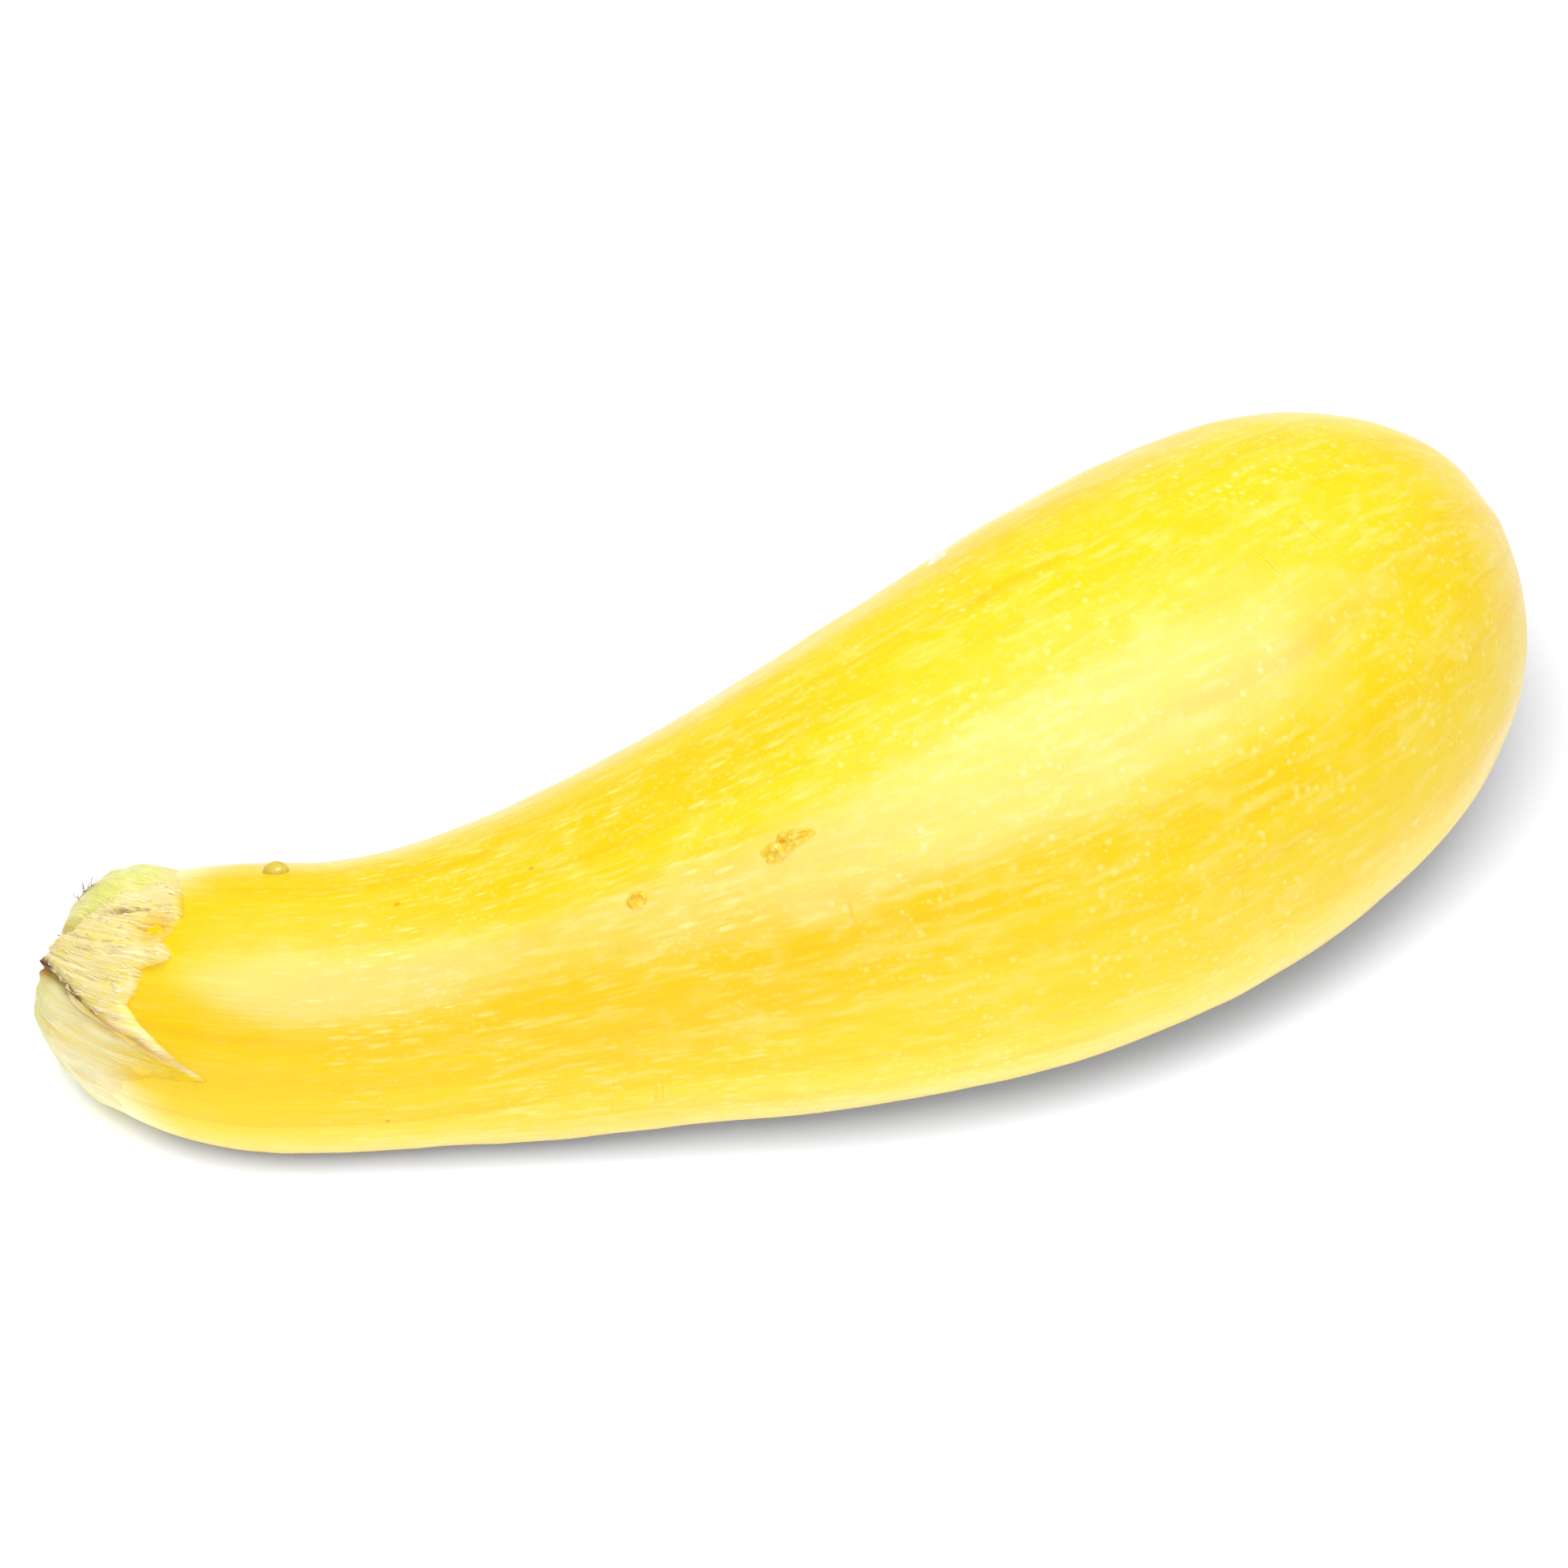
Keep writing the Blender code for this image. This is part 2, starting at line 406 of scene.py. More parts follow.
GOLDEN = (0.91, 0.59, 0.001, 1.0)
LEMON = (0.91, 0.66, 0.002, 1.0)
AMBER = (0.89, 0.49, 0.001, 1.0)
CREAM = (0.93, 0.78, 0.20, 1.0)
PALE_GREEN = (0.77, 0.77, 0.18, 1.0)
YELLOW_GREEN = (0.88, 0.85, 0.30, 1.0)
SHOULDER_CREAM = (0.97, 0.87, 0.48, 1.0)
NICK_BROWN = (0.72, 0.30, 0.01, 1.0)
STRAW_YELLOW = (0.95, 0.77, 0.13, 1.0)
STRAW = (0.94, 0.77, 0.32, 1.0)
PALE_STRAW = (0.97, 0.86, 0.44, 1.0)
BLEACHED_STRAW = (0.98, 0.95, 0.80, 1.0)
SAP_BROWN = (0.58, 0.25, 0.02, 1.0)
DRIED_DARK = (0.09, 0.032, 0.007, 1.0)
DRIED_BROWN = (0.34, 0.14, 0.026, 1.0)
WHISKER_DARK = (0.13, 0.06, 0.02, 1.0)
WHISKER_LIGHT = (0.72, 0.55, 0.30, 1.0)
FIBRE_STRAW = (0.93, 0.80, 0.44, 1.0)
FLAKE_TAN = (0.86, 0.74, 0.52, 1.0)
FLAKE_PALE = (0.95, 0.90, 0.80, 1.0)
SAP_AMBER = (0.86, 0.50, 0.01, 1.0)
SAP_YELLOW = (0.94, 0.70, 0.08, 1.0)
SAP_CREAM = (0.95, 0.84, 0.42, 1.0)
CLEAR_SAP = (0.97, 0.80, 0.10, 1.0)
CORK_DARK = (0.20, 0.10, 0.03, 1.0)
CORK_LIGHT = (0.66, 0.47, 0.20, 1.0)


def paled_by_stem(finish, colour):
    """Green and cream tints that the stem's tissue leaves in the skin."""
    tree = finish.tree
    grain = finish.attribute("grain", "Vector")
    clouds = cloudy(tree, finish.place, 420.0, 4.0, 0.6)
    streaks = cloudy(tree, finish.stretched(grain, 700.0, 700.0, 60.0), 1.0)
    uneven = between(tree, streaks, 0.30, 0.52, 0.45, 1.0)
    cream_share = maths(tree, "MULTIPLY", finish.attribute("creamed"), uneven)
    colour = blended(tree, cream_share, colour, SHOULDER_CREAM)
    green = blended(tree, between(tree, clouds, 0.32, 0.68), PALE_GREEN, YELLOW_GREEN)
    return blended(tree, finish.attribute("greened"), colour, green)


def flecked(skin, colour, grain, along, on_bulb):
    """Pale corky flecks: round on the bulb, drawn out to dashes on the neck."""
    tree = skin.tree
    round_flecks = skin.dots(skin.place, 640.0, 0.12, 0.40)
    fine_flecks = skin.dots(skin.place, 1150.0, 0.12, 0.42)
    dashes = skin.dots(skin.stretched(grain, 900.0, 900.0, 270.0), 1.0, 0.12, 0.42)
    crowded = between(tree, cloudy(tree, skin.place, 75.0, 2.0), 0.38, 0.56, 0.30, 1.0)
    crowded = maths(tree, "MULTIPLY", crowded, between(tree, along, 22.0, 48.0, 0.25, 1.0))
    on_bulb_share = maths(tree, "MULTIPLY", round_flecks, between(tree, on_bulb, 0.0, 1.0, 0.15, 0.75))
    on_neck_share = maths(tree, "MULTIPLY", dashes, between(tree, on_bulb, 0.0, 1.0, 0.75, 0.25))
    spots = maths(tree, "MAXIMUM", on_bulb_share, on_neck_share)
    spots = maths(tree, "MAXIMUM", spots, maths(tree, "MULTIPLY", fine_flecks, 0.40))
    spots = maths(tree, "MULTIPLY", spots, crowded)
    return blended(tree, spots, colour, CREAM), spots


def banded(skin, grain, on_bulb, long_streaks):
    """The skin's own yellow: broad golden and lemon bands, amber streaks."""
    tree = skin.tree
    broad_bands = cloudy(tree, skin.stretched(grain, 95.0, 95.0, 9.0), 1.0, 3.0, 0.5, 0.2)
    lemon_share = maths(tree, "ADD", broad_bands, between(tree, on_bulb, 0.0, 1.0, -0.10, 0.10))
    colour = blended(tree, between(tree, lemon_share, 0.38, 0.60), GOLDEN, LEMON)
    return blended(tree, between(tree, long_streaks, 0.50, 0.76, 0.0, 0.45), colour, AMBER)


def bleached(skin, colour, along, long_streaks, short_streaks, mottle):
    """Cream streaks and mottling, faint on the neck."""
    tree = skin.tree
    past_neck = between(tree, along, 22.0, 55.0, 0.25, 1.0)
    for pale_share in (
        between(tree, long_streaks, 0.46, 0.26, 0.0, 0.22),
        between(tree, short_streaks, 0.48, 0.72, 0.0, 0.42),
        between(tree, mottle, 0.50, 0.78, 0.0, 0.28),
    ):
        colour = blended(tree, maths(tree, "MULTIPLY", pale_share, past_neck), colour, CREAM)
    return colour


def scratched(skin, colour, grain):
    """Fine amber scratches round the squash, and a few brown nicks."""
    tree = skin.tree
    lines = cloudy(tree, skin.stretched(grain, 60.0, 60.0, 1500.0), 1.0, 2.0, 0.5, 0.6)
    places = between(tree, cloudy(tree, skin.place, 45.0, 1.0), 0.58, 0.70)
    scratches = maths(tree, "MULTIPLY", between(tree, lines, 0.66, 0.74), places)
    colour = blended(tree, maths(tree, "MULTIPLY", scratches, 0.30), colour, AMBER)
    nicks = skin.dots(skin.stretched(grain, 105.0, 60.0, 90.0), 1.0, 0.026, 0.044)
    colour = blended(tree, maths(tree, "MULTIPLY", nicks, 0.75), colour, NICK_BROWN)
    return colour, scratches


def summed(tree, parts):
    """Sum of values, each times its own weight."""
    total = 0.0
    for value, weight in parts:
        total = maths(tree, "ADD", total, maths(tree, "MULTIPLY", value, weight))
    return total


def ripe_skin():
    """Waxy yellow skin: long streaks, faint bands, pale flecks and scratches."""
    skin = Finish("waxy_yellow_skin", IOR=1.33, Coat_Weight=0.15, Coat_Roughness=0.16, Coat_IOR=1.4)
    tree = skin.tree
    grain = skin.attribute("grain", "Vector")
    along = skin.attribute("along")
    on_bulb = between(tree, along, 60.0, 115.0)
    long_streaks = cloudy(tree, skin.stretched(grain, 420.0, 420.0, 24.0), 1.0, 4.0, 0.6, 0.3)
    short_streaks = cloudy(tree, skin.stretched(grain, 900.0, 900.0, 190.0), 1.0, 3.0, 0.6, 0.2)
    mottle = cloudy(tree, skin.place, 170.0, 5.0, 0.62)
    colour = banded(skin, grain, on_bulb, long_streaks)
    colour = bleached(skin, colour, along, long_streaks, short_streaks, mottle)
    colour, spots = flecked(skin, colour, grain, along, on_bulb)
    colour, scratches = scratched(skin, colour, grain)
    colour = paled_by_stem(skin, colour)
    parts = ((mottle, 0.6), (long_streaks, 0.6), (short_streaks, 0.3), (scratches, -0.4), (spots, 0.15))
    wax = between(tree, mottle, 0.3, 0.7, 0.24, 0.36)
    return skin.finish(Base_Color=colour, Roughness=wax, Normal=skin.bump(summed(tree, parts), 0.11 * MM))


def torn_stem():
    """Pale green lobes, straw-coloured torn tissue and dried brown edges."""
    stem = Finish("pale_torn_stem", IOR=1.42)
    tree = stem.tree
    grain = stem.attribute("grain", "Vector")
    fibres = cloudy(tree, stem.stretched(grain, 1900.0, 1900.0, 130.0), 1.0, 4.0, 0.65, 0.4)
    clouds = cloudy(tree, stem.place, 330.0, 4.0, 0.6)
    colour = blended(tree, between(tree, fibres, 0.4, 0.7), GOLDEN, LEMON)
    colour = paled_by_stem(stem, colour)
    straw = blended(tree, between(tree, clouds, 0.36, 0.60), STRAW_YELLOW, STRAW)
    straw = blended(tree, between(tree, fibres, 0.44, 0.64), straw, PALE_STRAW)
    straw = blended(tree, between(tree, fibres, 0.60, 0.78), straw, BLEACHED_STRAW)
    colour = blended(tree, stem.attribute("tissue"), colour, straw)
    colour = blended(tree, stem.attribute("ambered"), colour, SAP_BROWN)
    brown = blended(tree, between(tree, fibres, 0.35, 0.65), DRIED_DARK, DRIED_BROWN)
    broken = between(tree, clouds, 0.30, 0.50, 0.45, 1.0)
    dried = maths(tree, "MULTIPLY", stem.attribute("browned"), broken, clamp=True)
    colour = blended(tree, dried, colour, brown)
    relief = summed(tree, ((fibres, 1.0), (clouds, 0.5)))
    dull = between(tree, stem.attribute("tissue"), 0.0, 1.0, 0.27, 0.36)
    return stem.finish(Base_Color=colour, Roughness=dull, Normal=stem.bump(relief, 0.30 * MM))


# ------------------------------------------------------------------- the skin

STATIONS = 300
SIDES = 200
GRAIN_RADIUS = 25.0 * MM
RIDGE_STRETCH = (1.0, 1.0, 0.08)
MERGE_DISTANCE = 0.004 * MM
SUNK_DEPTH = 1.8 * MM


def shape_tree(name, sizes):
    """A Geometry Nodes tree with named sizes, and its first and last node."""
    tree = bpy.data.node_groups.new(name, "GeometryNodeTree")
    tree.interface.new_socket("Geometry", in_out="INPUT", socket_type="NodeSocketGeometry")
    kinds = {int: "NodeSocketInt", float: "NodeSocketFloat", str: "NodeSocketString"}
    for label, value in sizes.items():
        kind = kinds.get(type(value), "NodeSocketMaterial")
        tree.interface.new_socket(label, in_out="INPUT", socket_type=kind)
    tree.interface.new_socket("Geometry", in_out="OUTPUT", socket_type="NodeSocketGeometry")
    return tree, add_node(tree, "NodeGroupInput").outputs, add_node(tree, "NodeGroupOutput")


def grow(thing, tree, sizes):
    """Run the tree on the object and keep the result as its plain mesh."""
    modifier = thing.modifiers.new(tree.name, "NODES")
    modifier.node_group = tree
    for item in tree.interface.items_tree:
        if item.in_out == "INPUT" and item.name in sizes:
            modifier[item.identifier] = sizes[item.name]
    bpy.context.view_layer.update()
    settled = thing.evaluated_get(bpy.context.evaluated_depsgraph_get())
    grown = bpy.data.meshes.new_from_object(settled)
    thing.modifiers.remove(modifier)
    thing.data = grown
    grown.name = thing.name
    return thing


def linked_object(name, mesh):
    thing = bpy.data.objects.new(name, mesh)
    bpy.context.scene.collection.objects.link(thing)
    return thing


def arc_places(count):
    """Places along the axis, close together at both ends."""
    arc = np.linspace(0.0, math.pi, count)
    return AXIS_LENGTH * (1.0 - np.cos(arc)) / 2.0


def point_attribute(mesh, name, values):
    kind = "FLOAT_VECTOR" if np.ndim(values) == 2 else "FLOAT"
    key = "vector" if kind == "FLOAT_VECTOR" else "value"
    made = mesh.attributes.new(name, kind, "POINT")
    made.data.foreach_set(key, np.asarray(values, np.float32).ravel())


def attribute_values(mesh, name, width):
    values = np.zeros(len(mesh.vertices) * width, np.float32)
    mesh.attributes[name].data.foreach_get("value" if width == 1 else "vector", values)
    return values.reshape(-1, width).astype(float)


def sunk_under_stem(along):
    """How far the skin stands back where the stem's tissue covers it."""
    return np.minimum(SUNK_DEPTH * ramp(along, 9.5 * MM, 5.0 * MM), 0.6 * girth(along))


def growth_line():
    """The bent axis as a chain of points that carry girth, side and depth."""
    along = arc_places(STATIONS)
    mesh = bpy.data.meshes.new("growth_line")
    mesh.from_pydata(axis_point(along).tolist(), [(i, i + 1) for i in range(STATIONS - 1)], [])
    point_attribute(mesh, "line_centre", axis_point(along))
    point_attribute(mesh, "line_side", side_way(along))
    point_attribute(mesh, "line_girth", girth(along) - sunk_under_stem(along))
    point_attribute(mesh, "line_along", along)
    point_attribute(mesh, "line_lobe", lobe_depth(along))
    return linked_object("skin", mesh)


def named_value(tree, name, kind):
    named = add_node(tree, "GeometryNodeInputNamedAttribute", data_type=kind)
    feed(tree, named, {"Name": name})
    return named.outputs[0]


def from_line(tree, line, index, name, kind):
    """An attribute of the growth line, read at a station."""
    read = add_node(tree, "GeometryNodeSampleIndex", data_type=kind, domain="POINT")
    feed(tree, read, {"Geometry": line, "Value": named_value(tree, name, kind), "Index": index})
    return read.outputs[0]


def stored(tree, geometry, name, value, kind):
    made = add_node(tree, "GeometryNodeStoreNamedAttribute", data_type=kind, domain="POINT")
    feed(tree, made, {"Geometry": geometry, "Name": name, "Value": value})
    return made.outputs[0]


def combined(tree, x, y, z):
    made = add_node(tree, "ShaderNodeCombineXYZ")
    feed(tree, made, {0: x, 1: y, 2: z})
    return made.outputs[0]


def separated(tree, vector):
    made = add_node(tree, "ShaderNodeSeparateXYZ")
    feed(tree, made, {0: vector})
    return made.outputs


def pressed_flat(tree, geometry, level):
    """Nothing of the skin goes below the level that it rests on."""
    place = separated(tree, add_node(tree, "GeometryNodeInputPosition").outputs[0])
    raised = combined(tree, place[0], place[1], maths(tree, "MAXIMUM", place[2], level))
    made = add_node(tree, "GeometryNodeSetPosition")
    feed(tree, made, {"Geometry": geometry, "Position": raised})
    return made.outputs[0]


def crease_cut(tree, turn, depth):
    """How deep the creases between the lobes are at a turn round the axis."""
    lobe_turn = maths(tree, "MULTIPLY", maths(tree, "ADD", turn, LOBE_TURN), LOBES / 2.0)
    crease = maths(tree, "SUBTRACT", 1.0, maths(tree, "ABSOLUTE", maths(tree, "COSINE", lobe_turn)))
    return maths(tree, "MULTIPLY", depth, maths(tree, "POWER", crease, 2.0))


def rolled_up(tree, given):
    """A flat grid rolled round the growth line, one row at each station."""
    sheet = add_node(tree, "GeometryNodeMeshGrid")
    feed(tree, sheet, {"Size X": 1.0, "Size Y": 1.0, "Vertices X": given["Stations"]})
    feed(tree, sheet, {"Vertices Y": maths(tree, "ADD", given["Sides"], 1.0)})
    place = separated(tree, add_node(tree, "GeometryNodeInputPosition").outputs[0])
    last = maths(tree, "SUBTRACT", given["Stations"], 1.0)
    station = maths(tree, "ROUND", maths(tree, "MULTIPLY", maths(tree, "ADD", place[0], 0.5), last))
    turn = maths(tree, "MULTIPLY", maths(tree, "ADD", place[1], 0.5), math.tau)
    cosine = maths(tree, "COSINE", turn)
    sine = maths(tree, "SINE", turn)
    line = given["Geometry"]
    centre = from_line(tree, line, station, "line_centre", "FLOAT_VECTOR")
    side = from_line(tree, line, station, "line_side", "FLOAT_VECTOR")
    reach = from_line(tree, line, station, "line_girth", "FLOAT")
    along = from_line(tree, line, station, "line_along", "FLOAT")
    lobe = from_line(tree, line, station, "line_lobe", "FLOAT")
    reach = maths(tree, "SUBTRACT", reach, crease_cut(tree, turn, lobe))
    outwards = vector_maths(tree, "ADD", scaled(tree, side, cosine), combined(tree, 0.0, 0.0, sine))
    skin_place = vector_maths(tree, "ADD", centre, scaled(tree, outwards, reach))
    round_x = maths(tree, "MULTIPLY", cosine, GRAIN_RADIUS)
    round_y = maths(tree, "MULTIPLY", sine, GRAIN_RADIUS)
    body = stored(tree, sheet.outputs[0], "grain", combined(tree, round_x, round_y, along), "FLOAT_VECTOR")
    body = stored(tree, body, "along", maths(tree, "MULTIPLY", along, 1.0 / MM), "FLOAT")
    moved = add_node(tree, "GeometryNodeSetPosition")
    feed(tree, moved, {"Geometry": body, "Position": skin_place})
    merged = add_node(tree, "GeometryNodeMergeByDistance")
    feed(tree, merged, {"Geometry": moved.outputs[0], "Distance": MERGE_DISTANCE})
    return merged.outputs[0]


def noise_height(tree, place, per_metre, height):
    lumps = maths(tree, "SUBTRACT", cloudy(tree, place, per_metre, 2.0), 0.5)
    return maths(tree, "MULTIPLY", lumps, height)


def skin_relief(tree, given):
    """Height of lumps, long ridges and peel, fading out towards the stem."""
    here = add_node(tree, "GeometryNodeInputPosition").outputs[0]
    grain = named_value(tree, "grain", "FLOAT_VECTOR")
    long_way = vector_maths(tree, "MULTIPLY", grain, RIDGE_STRETCH)
    lumps = noise_height(tree, here, given["Lumps per Metre"], given["Lump Height"])
    ridges = noise_height(tree, long_way, given["Ridges per Metre"], given["Ridge Height"])
    peel = noise_height(tree, here, given["Peel per Metre"], given["Peel Height"])
    height = maths(tree, "ADD", maths(tree, "ADD", lumps, ridges), peel)
    past_stem = between(tree, named_value(tree, "along", "FLOAT"), 12.0, 30.0)
    return maths(tree, "MULTIPLY", height, past_stem)


def skin_tree(sizes):
    """The whole skin; its faces point inwards until they are flipped."""
    tree, given, out = shape_tree("grown_skin", sizes)
    inwards = add_node(tree, "GeometryNodeInputNormal").outputs[0]
    relief = add_node(tree, "GeometryNodeSetPosition")
    feed(tree, relief, {"Geometry": rolled_up(tree, given)})
    feed(tree, relief, {"Offset": scaled(tree, inwards, skin_relief(tree, given))})
    resting = pressed_flat(tree, relief.outputs[0], given["Rest Level"])
    facing_out = add_node(tree, "GeometryNodeFlipFaces")
    feed(tree, facing_out, {"Mesh": resting})
    smooth = add_node(tree, "GeometryNodeSetShadeSmooth")
    feed(tree, smooth, {"Geometry": facing_out.outputs[0]})
    whole = add_node(tree, "GeometryNodeRealizeInstances")
    feed(tree, whole, {"Geometry": smooth.outputs[0]})
    painted = add_node(tree, "GeometryNodeSetMaterial")
    feed(tree, painted, {"Geometry": whole.outputs[0], "Material": given["Skin"]})
    feed(tree, out, {0: painted.outputs[0]})
    return tree


def make_skin():
    sizes = {
        "Stations": STATIONS,
        "Sides": SIDES,
        "Lumps per Metre": 38.0,
        "Lump Height": 1.3 * MM,
        "Ridges per Metre": 75.0,
        "Ridge Height": 0.7 * MM,
        "Peel per Metre": 330.0,
        "Peel Height": 0.12 * MM,
        "Rest Level": float(FLOOR_LEVEL),
        "Skin": ripe_skin(),
    }
    skin = grow(growth_line(), skin_tree(sizes), sizes)
    along = attribute_values(skin.data, "along", 1)[:, 0]
    grain = attribute_values(skin.data, "grain", 3)
    degrees = np.degrees(np.arctan2(grain[:, 1], grain[:, 0])) % 360.0
    point_attribute(skin.data, "greened", greened(along, degrees))
    point_attribute(skin.data, "creamed", creamed(along, degrees))
    return skin


# --------------------------------------------------------------- the stem end

STEM_STATIONS = 130
STEM_SIDES = 340
STEM_CROWDING = 1.15
STEM_WALL = 0.5 * MM


def closed_grid(name, outer, inner):
    """A cap of two grids of points, from a pole out to a rim, joined there."""
    rows, columns = outer.shape[:2]
    count = rows * columns
    points = np.concatenate([outer.reshape(-1, 3), inner.reshape(-1, 3)])
    points = np.concatenate([points, [outer[0].mean(axis=0)], [inner[0].mean(axis=0)]])
    faces = []
    for j in range(columns):
        k = (j + 1) % columns
        for i in range(rows - 1):
            a, b = i * columns + j, i * columns + k
            c, d = a + columns, b + columns
            faces.append((a, b, d, c))
            faces.append((count + a, count + c, count + d, count + b))
        rim_a, rim_b = (rows - 1) * columns + j, (rows - 1) * columns + k
        faces.append((rim_a, rim_b, count + rim_b, count + rim_a))
        faces.append((2 * count, k, j))
        faces.append((2 * count + 1, count + j, count + k))
    mesh = bpy.data.meshes.new(name)
    mesh.from_pydata(points.tolist(), [], faces)
    mesh.update()
    return mesh


def fibre_noise(along, degrees, across, length):
    """Noise stretched along the squash, as the torn tissue's fibres are."""
    turn = np.radians(degrees)
    reach = 15.0 / across
    return noise_at(np.stack([np.cos(turn) * reach, np.sin(turn) * reach, along / length], axis=-1))


def slit_share(along, degrees, width):
    return near_line(along, degrees, SLIT, width) * np.exp(-((along - SLIT_MIDDLE) / 2.6) ** 2)


def stem_heights(along, degrees, wedge):
    """Height of the stem's tissue over the skin's rule, in millimetres."""
    height = 0.25 + 0.65 * wedge * ramp(along, 2.0, 6.0) * ramp(along, 25.0, 14.0)
    rises = [(2.1, UPPER_LOBE), (0.9, UPPER_LOBE_HEEL), (1.0, LOWER_LOBE)]
    rises += [(1.1, lobe) for lobe in FAR_LOBES]
    rises += [(-0.9, HOLLOW), (0.9, FLAP), (1.2, SPUR)]
    for rise, place in rises:
        height = height + rise * mound(along, degrees, *place)
    ridges = fibre_noise(along, degrees, 0.50, 7.0)
    fine_ridges = fibre_noise(along, degrees, 0.24, 4.0)
    tangle = fibre_noise(along, degrees, 2.4, 3.2)
    height = height + (0.20 * ridges + 0.22 * fine_ridges) * wedge + 0.40 * tangle
    height = height - 1.0 * near_line(along, degrees, CREASE, 0.50) * ramp(along, 20.0, 9.0)
    valley = near_line(along, degrees, LOBE_EDGE, 0.75)
    height = height - 1.2 * valley * ramp(along, 1.0, 4.0) * ramp(along, 11.0, 8.0)
    return height - 0.7 * slit_share(along, degrees, 0.28) - 1.7 * ramp(along, 4.6, 1.2)


def stem_marks(along, degrees, wedge, edge):
    """Shares of torn tissue, amber and dried brown over the stem's surface."""
    tissue = wedge * ramp(along, 0.5, 2.5)
    tissue = np.maximum(tissue, mound(along, degrees, *CUT_FACE))
    tissue = np.maximum(tissue, 0.8 * mound(along, degrees, *PALE_SHOULDER))
    hollow = mound(along, degrees, *HOLLOW_SKIN)
    thinning = np.interp(degrees, (110.0, 136.0), (1.6, 0.3))
    tissue = tissue * (1.0 - 0.9 * hollow) * ramp(edge - along, -0.2, thinning)
    tissue = np.maximum(tissue, mound(along, degrees, *FLAP_TISSUE))
    ambered = 0.9 * mound(along, degrees, *SPUR_SAP) + 0.25 * hollow
    hem = near_line(along, degrees, CREASE, 0.50, -0.60)
    ambered = ambered + 0.65 * hem * ramp(along, 7.0, 11.0) * ramp(along, 27.0, 17.0)
    ambered = ambered + 0.35 * mound(along, degrees, *CUT_FACE_SAP)
    crumbling = 0.65 + 0.9 * fibre_noise(along, degrees, 1.1, 0.9)
    split = near_line(along, degrees, CREASE, 0.70, -0.65)
    browned = 1.9 * split * ramp(along, 3.8, 5.0) * ramp(along, 15.5, 9.0) * crumbling
    dried_edge = mound(along, degrees, *DRIED_EDGE) * (0.5 + fibre_noise(along, degrees, 1.2, 3.0))
    browned = browned + 1.3 * slit_share(along, degrees, 0.42) * crumbling + 0.9 * dried_edge
    return {"tissue": tissue, "ambered": ambered, "browned": browned}


def fibre_shares(along, degrees, wedge, edge, tissue):
    """Where torn fibres and dried whiskers grow on the stem's outside."""
    frayed = tissue * ramp(line_gap(along, degrees, CREASE), -0.6, -1.4)
    frayed = frayed * wedge * ramp(along, 1.0, 3.0) * ramp(edge - along, 0.2, 1.2)
    dried = sum(mound(along, degrees, *spot) for spot in WHISKER_SPOTS)
    return {"frayed": frayed, "dried": ramp(dried, 0.4, 0.8)}


def stem_sheet():
    """Places all over the stem, in millimetres and degrees, and its edge."""
    share = np.linspace(0.0, 1.0, STEM_STATIONS + 1)[1:] ** STEM_CROWDING
    degrees = np.linspace(0.0, 360.0, STEM_SIDES, endpoint=False)
    share, degrees = np.meshgrid(share, degrees, indexing="ij")
    edge = stem_reach(degrees) + 0.5 * fibre_noise(degrees * 0.0, degrees, 1.8, 1.0)
    return np.maximum(share * edge, 0.02), degrees, edge


def on_both_sides(values):
    """A sheet's values for the closed grid's two sides and their poles."""
    return np.concatenate([values, values, values[:1], values[:1]])


def make_stem_end(material):
    """The torn stem: lobes, the wedge of tissue between them, and creases."""
    along, degrees, edge = stem_sheet()
    wedge = wedge_share(along, degrees)
    lip = np.interp(degrees, (60.0, 84.0, 166.0, 174.0), (5.0, 1.2, 1.2, 5.0))
    taper = np.sqrt(ramp(edge - along, 0.0, lip))
    lift = stem_heights(along, degrees, wedge) * taper - 0.06 * (1.0 - taper)
    turn = np.radians(degrees)
    outer = raised_point(along * MM, turn, lift * MM)
    inner = raised_point(along * MM, turn, np.minimum(lift, 0.0) * MM - STEM_WALL)
    mesh = closed_grid("stem_end", outer, inner)

    marks = stem_marks(along, degrees, wedge, edge)
    marks["greened"] = greened(along, degrees)
    marks["creamed"] = creamed(along, degrees)
    for name, values in marks.items():
        point_attribute(mesh, name, on_both_sides(np.clip(values, 0.0, 1.0).ravel()))
    inside = np.zeros(along.size + 2)
    for name, values in fibre_shares(along, degrees, wedge, edge, marks["tissue"]).items():
        point_attribute(mesh, name, np.concatenate([np.clip(values, 0.0, 1.0).ravel(), inside]))
    grain = np.stack([np.cos(turn) * GRAIN_RADIUS, np.sin(turn) * GRAIN_RADIUS, along * MM], axis=-1)
    point_attribute(mesh, "grain", on_both_sides(grain.reshape(-1, 3)))
    way = np.gradient(outer, axis=0)
    way = way / np.linalg.norm(way, axis=-1, keepdims=True)
    point_attribute(mesh, "fibre_way", on_both_sides(way.reshape(-1, 3)))
    mesh.shade_smooth()
    mesh.materials.append(material)
    return linked_object("stem_end", mesh)


def one_fibre(tree, given):
    fibre = add_node(tree, "GeometryNodeMeshCone")
    feed(tree, fibre, {"Vertices": 6, "Side Segments": 6, "Depth": given["Fibre Length"]})
    feed(tree, fibre, {"Radius Bottom": given["Fibre Radius"]})
    feed(tree, fibre, {"Radius Top": maths(tree, "MULTIPLY", given["Fibre Radius"], 0.2)})
    return fibre.outputs[0]


